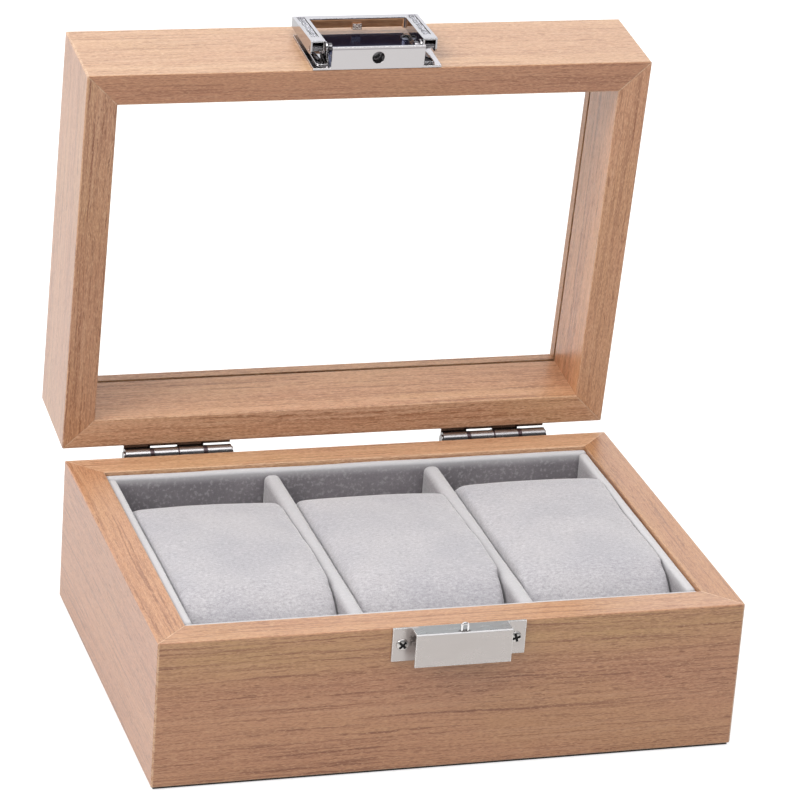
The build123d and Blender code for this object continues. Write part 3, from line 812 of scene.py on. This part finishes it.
def grown(name, nodes, places, body, slot, *replaced, angle=math.radians(35), **values):
    """The group's geometry grown on a set of places, as a plain mesh that rides on its body.

    A place is a point with the way that it faces and a turn about that way.
    """
    seed = bpy.data.meshes.new(f"{name}_places")
    seed.from_pydata([point for point, way, turn in places], [], [])
    seed.attributes.new("facing", "FLOAT_VECTOR", "POINT")
    seed.attributes.new("turned", "FLOAT", "POINT")
    for i, (point, way, turn) in enumerate(places):
        seed.attributes["facing"].data[i].vector = way
        seed.attributes["turned"].data[i].value = turn
    grower = bpy.data.objects.new(f"{name}_grower", seed)
    bpy.context.scene.collection.objects.link(grower)
    modifier = grower.modifiers.new("grow", "NODES")
    modifier.node_group = nodes.tree
    named = {key.replace("_", " ").title(): value for key, value in values.items()}
    for item in nodes.tree.interface.items_tree:
        if item.in_out == "INPUT" and item.name in named:
            modifier[item.identifier] = named[item.name]
    bpy.context.view_layer.update()
    mesh = plain_mesh(grower, keep_layers=True)
    mesh.name = name
    bpy.data.objects.remove(grower)
    smooth(mesh, angle)
    return new_piece(name, mesh, body, slot, None, *replaced)


def stood(nodes, shape):
    """The shape set on every place, along the way that the place faces and with its turn."""
    reader = "GeometryNodeInputNamedAttribute"
    facing = nodes.add(reader, {"Name": "facing"}, data_type="FLOAT_VECTOR")
    turned = nodes.add(reader, {"Name": "turned"}, data_type="FLOAT")
    aligned = nodes.add("FunctionNodeAlignRotationToVector", {"Vector": facing}, axis="Z")
    spin = nodes.add("FunctionNodeAxisAngleToRotation", {"Axis": (0, 0, 1), "Angle": turned})
    turns = {"Rotation": aligned, "Rotate By": spin}
    both = nodes.add("FunctionNodeRotateRotation", turns, rotation_space="LOCAL")
    points = nodes.add("GeometryNodeMeshToPoints", {"Mesh": nodes.given[0]})
    inputs = {"Points": points, "Instance": shape, "Rotation": both}
    return nodes.add("GeometryNodeInstanceOnPoints", inputs)


def solids(node):
    """The corner points of every separate solid of a node, in the open case."""
    form = bmesh.new()
    form.from_mesh(frame["nodes"][node].data)
    bmesh.ops.remove_doubles(form, verts=form.verts, dist=0.0005 * MM)
    form.verts.index_update()
    seen = set()
    groups = []
    for start in form.verts:
        if start.index in seen:
            continue
        seen.add(start.index)
        reached = [start]
        for vertex in reached:
            for edge in vertex.link_edges:
                other = edge.other_vert(vertex)
                if other.index not in seen:
                    seen.add(other.index)
                    reached.append(other)
        groups.append([vertex.co.copy() for vertex in reached])
    form.free()
    return groups


# Screws: domed heads with a cross slot, each at its own turn
# the slot is near black: grime and painted shade in the recess
grime_and_shade = Finish("slot_grime_and_shade", base_color=(0.012, 0.011, 0.01, 1), roughness=0.7)
grime_dust = grime_and_shade.noise(grime_and_shade.place(), 2500.0, 2.0, 0.6)
grime_and_shade.link("Roughness", grime_and_shade.band(grime_dust, 0.3, 0.7, 0.5, 0.9))
screw = Nodes(
    "cross_screw",
    head_radius=2.05 * MM,
    head_height=0.82 * MM,
    slot_length=3.1 * MM,
    slot_width=0.86 * MM,
)
radius, height = screw.given["Head Radius"], screw.given["Head Height"]
ball = screw.add("GeometryNodeMeshUVSphere", {"Segments": 40, "Rings": 24, "Radius": 1.0})
# the widest part of the dome is a little above the seat
lift, rise = (screw.maths("MULTIPLY", height, share) for share in (0.14, 0.86))
dome = screw.moved(ball, screw.vector(z=lift), size=screw.vector(radius, radius, rise))
below = screw.cube(10 * MM, 10 * MM, 10 * MM)
cap = screw.cut(dome, screw.moved(below, (0, 0, -5 * MM)))
arm = screw.cube(screw.given["Slot Length"], screw.given["Slot Width"], 2 * MM)
arm = screw.coated(arm, grime_and_shade.material)
arms = [screw.moved(arm, (0, 0, 1.22 * MM), (0, 0, turn)) for turn in (0, math.pi / 2)]
head = screw.cut(screw.coated(cap, screw_steel), arms)
shank_size = {"Vertices": 24, "Radius": 0.9 * MM, "Depth": 7.2 * MM}
shank = screw.add("GeometryNodeMeshCylinder", shank_size)
shank = screw.moved(screw.coated(shank, screw_steel), (0, 0, -3.55 * MM))
screw.finish(stood(screw, screw.joined(head, shank)))
spins = (0.78, 0.28, 1.1, 0.5, 0.15, 0.95)
head_depth = 1.1 * MM
for node, body, own in (("base_screws", "base", Matrix()), ("lid_screws", "lid", lid_open)):
    seats = []
    for group in solids(node):
        points = [own.inverted() @ point for point in group]
        lowest = [min(point[axis] for point in points) for axis in range(3)]
        highest = [max(point[axis] for point in points) for axis in range(3)]
        out = -1 if lowest[1] < 0 else 1
        seat_y = lowest[1] + head_depth if out < 0 else highest[1] - head_depth
        seats.append((seat_y, (lowest[0] + highest[0]) / 2, (lowest[2] + highest[2]) / 2, out))
    seats.sort()
    places = [
        (own @ Vector((x, y, z)), own.to_3x3() @ Vector((0, out, 0)), spin)
        for (y, x, z, out), spin in zip(seats, spins)
    ]
    grown(f"screws_{body}", screw, places, body, "chrome_plate", node)

# Knurled strips sunk in the bail's arms and on its boss: rows of small uneven points
knurl = Nodes(
    "knurled_strip",
    width=2.7 * MM,
    length=19.8 * MM,
    seat=0.34 * MM,
    point_width=0.36 * MM,
    point_height=0.42 * MM,
)
width, length, seat = (knurl.given[label] for label in ("Width", "Length", "Seat"))
pitch = 0.6 * MM
grid_inputs = {
    "Size X": knurl.maths("SUBTRACT", width, pitch),
    "Size Y": knurl.maths("SUBTRACT", length, pitch),
    "Vertices X": knurl.maths("DIVIDE", width, pitch),
    "Vertices Y": knurl.maths("DIVIDE", length, pitch),
}
grid = knurl.add("GeometryNodeMeshGrid", grid_inputs)
cone_inputs = {
    "Vertices": 4,
    "Radius Bottom": knurl.given["Point Width"],
    "Radius Top": 0.0,
    "Depth": knurl.given["Point Height"],
}
cone = knurl.add("GeometryNodeMeshCone", cone_inputs)
tilts = {0: (-0.3, -0.3, 0.5), 1: (0.3, 0.3, 1.1), "Seed": 4}
tilt = knurl.add("FunctionNodeRandomValue", tilts, data_type="FLOAT_VECTOR")
teeth_inputs = {"Points": grid, "Instance": cone, "Rotation": tilt}
teeth = knurl.add("GeometryNodeInstanceOnPoints", teeth_inputs)
teeth = knurl.moved(teeth, knurl.vector(z=knurl.maths("MULTIPLY", seat, 0.9)))
slab = knurl.cube(width, length, seat)
slab = knurl.moved(slab, knurl.vector(z=knurl.maths("MULTIPLY", seat, 0.5)))
knurl.finish(stood(knurl, knurl.realized(knurl.joined(teeth, slab))), knurl_chrome)
outward = bail_open.to_3x3() @ Vector((0, -1, 0))
strips = [Vector((x * MM, -2.3 * MM, 12.5 * MM)) for x in (-19.9, 19.9)]
strip_places = [(bail_open @ strip, outward, 0.0) for strip in strips]
grown("bail_knurled_strips", knurl, strip_places, "bail", "chrome_plate", angle=0.1)
inward = bail_open.to_3x3() @ Vector((0, 0, -1))
boss_place = [(bail_open @ Vector((0, 0, 20.02 * MM)), inward, 0.0)]
boss_size = {"width": 3.2 * MM, "length": 2.1 * MM, "seat": 0.16 * MM, "point_height": 0.1 * MM}
grown("bail_boss_points", knurl, boss_place, "bail", "chrome_plate", angle=0.1, **boss_size)

# Torsion springs beside the bail's pins, with a leg on the plate and one up along the ear
spring = Nodes(
    "torsion_spring",
    coil_radius=1.42 * MM,
    wire_radius=0.23 * MM,
    turns=3.0,
    length=1.3 * MM,
)
coil_radius, length = spring.given["Coil Radius"], spring.given["Length"]
coil_inputs = {
    "Resolution": 24,
    "Rotations": spring.given["Turns"],
    "Start Radius": coil_radius,
    "End Radius": coil_radius,
    "Height": length,
}
coil = spring.add("GeometryNodeCurveSpiral", coil_inputs)
legs = []
for reach, level in ((-6.6 * MM, 0.0), (4.5 * MM, length)):
    start, end = (spring.vector(coil_radius, y, level) for y in (0.0, reach))
    legs.append(spring.add("GeometryNodeCurvePrimitiveLine", {"Start": start, "End": end}))
ring = {"Resolution": 8, "Radius": spring.given["Wire Radius"]}
round_wire = spring.add("GeometryNodeCurvePrimitiveCircle", ring)
tube_inputs = {"Curve": spring.joined(coil, *legs), "Profile Curve": round_wire, "Fill Caps": True}
tube = spring.add("GeometryNodeCurveToMesh", tube_inputs)
spring.finish(stood(spring, tube), dark_steel)
sideways = Vector((1, 0, 0))
spring_places = [(bail_axis + sideways * x * MM, sideways, 0.0) for x in (-15.95, 14.65)]
grown("latch_springs", spring, spring_places, "lid", "chrome_plate", angle=1.0)


def lathed(name, profile, place, body, slot, material):
    """A piece turned about the upright line through a place, from its radii and heights."""
    form = bmesh.new()
    sides = 32
    rings = []
    for radius, height in profile:
        turns = [math.tau * k / sides for k in range(sides if radius else 1)]
        around = [(radius * math.cos(turn), radius * math.sin(turn), height) for turn in turns]
        rings.append([form.verts.new(point) for point in around])
    for a, b in zip(rings, rings[1:]):
        bridge(form, a, b)
    bmesh.ops.recalc_face_normals(form, faces=form.faces)
    mesh = mesh_of(name, form)
    mesh.transform(place)
    smooth(mesh, math.radians(35))
    return new_piece(name, mesh, body, slot, material)


# Dark cup behind the hole of the latch's shelf, which takes the staple
cup_inside = [(0, 2.6 * MM), (1.9 * MM, 2.6 * MM), (2.25 * MM, 2.3 * MM), (2.25 * MM, 0)]
cup_outside = [(2.6 * MM, 0), (2.6 * MM, 2.7 * MM), (2.3 * MM, 3.0 * MM), (0, 3.0 * MM)]
cup_place = lid_open @ Matrix.Translation((latch_x, staple_hole_y, shelf_high))
lathed("staple_cup", cup_inside + cup_outside, cup_place, "lid", "chrome_plate", dark_steel)

# Dark washers between the hinges' knuckles, each with its place along the pin and its thickness
washers = ((-9.65 * MM, 1.5 * MM), (0, 0.6 * MM), (9.65 * MM, 1.5 * MM))
washer_radius = 2.74 * MM
along_pin = Matrix.Rotation(math.pi / 2, 4, "Y")
for side, hinge_x in (("left", -58.5 * MM), ("right", 58.5 * MM)):
    for number, (offset, thick) in enumerate(washers, 1):
        half = thick / 2
        washer_profile = [(0, -half), (washer_radius, -half), (washer_radius, half), (0, half)]
        washer_place = Matrix.Translation((hinge_x + offset, lid_axis.y, lid_axis.z)) @ along_pin
        washer_name = f"hinge_{side}_washer_{number}"
        lathed(washer_name, washer_profile, washer_place, "base", "chrome_plate", joint_steel)


def bent_foot(name, side):
    """The foot of an ear, bent flat on the latch's plate: a thin tongue with round corners."""
    near, far, low, high, corner = 17.1 * MM, 21.0 * MM, 55.0 * MM, 66.0 * MM, 1.7 * MM
    plate_face, thick = -half_depth - 0.78 * MM, 0.42 * MM
    outline = [(near, low)]
    for z, start in ((low + corner, -90), (high - corner, 0)):
        for k in range(9):
            turn = math.radians(start + 90 * k / 8)
            outline.append((far - corner + corner * math.cos(turn), z + corner * math.sin(turn)))
    outline.append((near, high))
    form = bmesh.new()
    base = form.faces.new([form.verts.new((latch_x + side * x, plate_face, z)) for x, z in outline])
    top = bmesh.ops.extrude_face_region(form, geom=[base])["geom"]
    lifted = [v for v in top if isinstance(v, bmesh.types.BMVert)]
    bmesh.ops.translate(form, vec=(0, -thick, 0), verts=lifted)
    form.normal_update()
    rim = [e for e in form.edges if all(v in lifted for v in e.verts)]
    bmesh.ops.bevel(form, geom=rim, offset=0.16 * MM, segments=3, profile=0.5, affect="EDGES")
    bmesh.ops.recalc_face_normals(form, faces=form.faces)
    mesh = mesh_of(name, form)
    mesh.transform(lid_open)
    smooth(mesh, math.radians(35))
    return new_piece(name, mesh, "lid", "chrome_plate", chrome)


bent_foot("ear_foot_left", -1)
bent_foot("ear_foot_right", 1)

# Floor: white to the camera and in glass, duller in shiny surfaces, with the case's soft shadow
floor_form = bmesh.new()
bmesh.ops.create_circle(floor_form, cap_ends=True, radius=8.0, segments=64)
floor_mesh = mesh_of("floor", floor_form)
floor = bpy.data.objects.new("floor", floor_mesh)
bpy.context.scene.collection.objects.link(floor)
floor.location.z = -0.2 * MM
grey, white = (0.5, 0.5, 0.5, 1), (1, 1, 1, 1)
ground = Finish("pale_floor", base_color=grey, roughness=0.8, emission_color=white)
rays = ground.add("ShaderNodeLightPath", {}).outputs
camera_ray, glossy_ray = rays["Is Camera Ray"], rays["Is Glossy Ray"]
glass_ray = rays["Is Transmission Ray"]
seen = ground.maths("ADD", camera_ray, ground.maths("ADD", glossy_ray, glass_ray), True)
mirrored = ground.times(glossy_ray, ground.maths("SUBTRACT", 1.0, glass_ray))
glow = ground.maths("ADD", ground.times(seen, 0.62), ground.times(mirrored, -0.42))
ground.link("Emission Strength", glow)
floor_mesh.materials.append(ground.material)

# World: white to the camera. Shiny surfaces mirror a white backdrop low behind the case, a dark
# ceiling over it, a bright panel high in front and a dim room. Matt surfaces are lit from above.
world = bpy.data.worlds.new("studio")
world.use_nodes = True
bpy.context.scene.world = world
background = world.node_tree.nodes["Background"]


def sky(kind, inputs, output=0, **settings):
    return add_node(world.node_tree, kind, inputs, settings).outputs[output]


way = sky("ShaderNodeTexCoord", {}, "Generated")
back, up = (sky("ShaderNodeSeparateXYZ", {0: way}, axis) for axis in ("Y", "Z"))
# 0 is the horizon behind the case, a half is straight up and 1 is the horizon in front
arc = sky("ShaderNodeMath", {0: up, 1: back}, operation="ARCTAN2")
arc = sky("ShaderNodeMath", {0: arc, 1: 1 / math.pi}, operation="MULTIPLY")
room = sky("ShaderNodeValToRGB", {0: arc})
stops = [(0.0, 1.25), (0.2, 1.25), (0.225, 0.03), (0.3, 0.02), (0.36, 0.9)]
stops += [(0.5, 1.1), (0.6, 1.5), (0.665, 1.5), (0.7, 0.12), (1.0, 0.08)]
room.node.color_ramp.interpolation = "EASE"
ramp = room.node.color_ramp.elements
while len(ramp) < len(stops):
    ramp.new(0.5)
for element, (place, level) in zip(ramp, stops):
    element.position = place
    element.color = (level * 0.98, level * 0.99, level * 1.03, 1)
rays = add_node(world.node_tree, "ShaderNodeLightPath", {}, {}).outputs
past_glass = sky("ShaderNodeMath", {0: 1.0, 1: rays["Is Transmission Ray"]}, operation="SUBTRACT")
mirrored = sky("ShaderNodeMath", {0: rays["Is Glossy Ray"], 1: past_glass}, operation="MULTIPLY")
backdrop = sky("ShaderNodeMix", {0: mirrored, 6: (1, 1, 1, 1), 7: room}, 2, data_type="RGBA")
world.node_tree.links.new(backdrop, background.inputs["Color"])
fall = sky("ShaderNodeMapRange", {0: up, 1: 0.0, 2: 1.0, 3: 0.16, 4: 1.4})
strength = sky("ShaderNodeMix", {0: rays["Is Diffuse Ray"], 2: 1.0, 3: fall})
world.node_tree.links.new(strength, background.inputs["Strength"])


def lamp(name, place, target, size, power, colour=(1, 1, 1)):
    """A soft square lamp at a place, turned to a target."""
    light = bpy.data.lights.new(name, "AREA")
    light.size = size
    light.energy = power
    light.color = colour
    holder = bpy.data.objects.new(name, light)
    bpy.context.scene.collection.objects.link(holder)
    holder.location = place
    holder.rotation_euler = (Vector(target) - Vector(place)).to_track_quat("-Z", "Y").to_euler()


lamp("lamp_top_left", (-1.5, -0.35, 1.6), (0, 0, 0.1), 1.3, 31, (1.0, 0.985, 0.965))
lamp("lamp_overhead", (0.1, -0.45, 1.8), (0, 0, 0.1), 0.9, 6.5)

# Camera at the photograph's angle
camera_data = bpy.data.cameras.new("camera")
camera_data.sensor_width = 36.0
camera_data.lens = 178.53
camera_data.clip_end = 50.0
camera = bpy.data.objects.new("camera", camera_data)
bpy.context.scene.collection.objects.link(camera)
camera_right = Vector((0.95725048, -0.28083602, 0.06930111))
camera_up = Vector((0.04848715, 0.39197626, 0.91869669))
camera_back = Vector((-0.28516751, -0.87606264, 0.3888364))
camera_turn = Matrix((camera_right, camera_up, camera_back)).transposed()
camera_place = Matrix.Translation((-0.38185937, -1.16618220, 0.61889748))
camera.matrix_world = camera_place @ camera_turn.to_4x4()
bpy.context.scene.camera = camera
bpy.context.scene.view_settings.view_transform = "Standard"
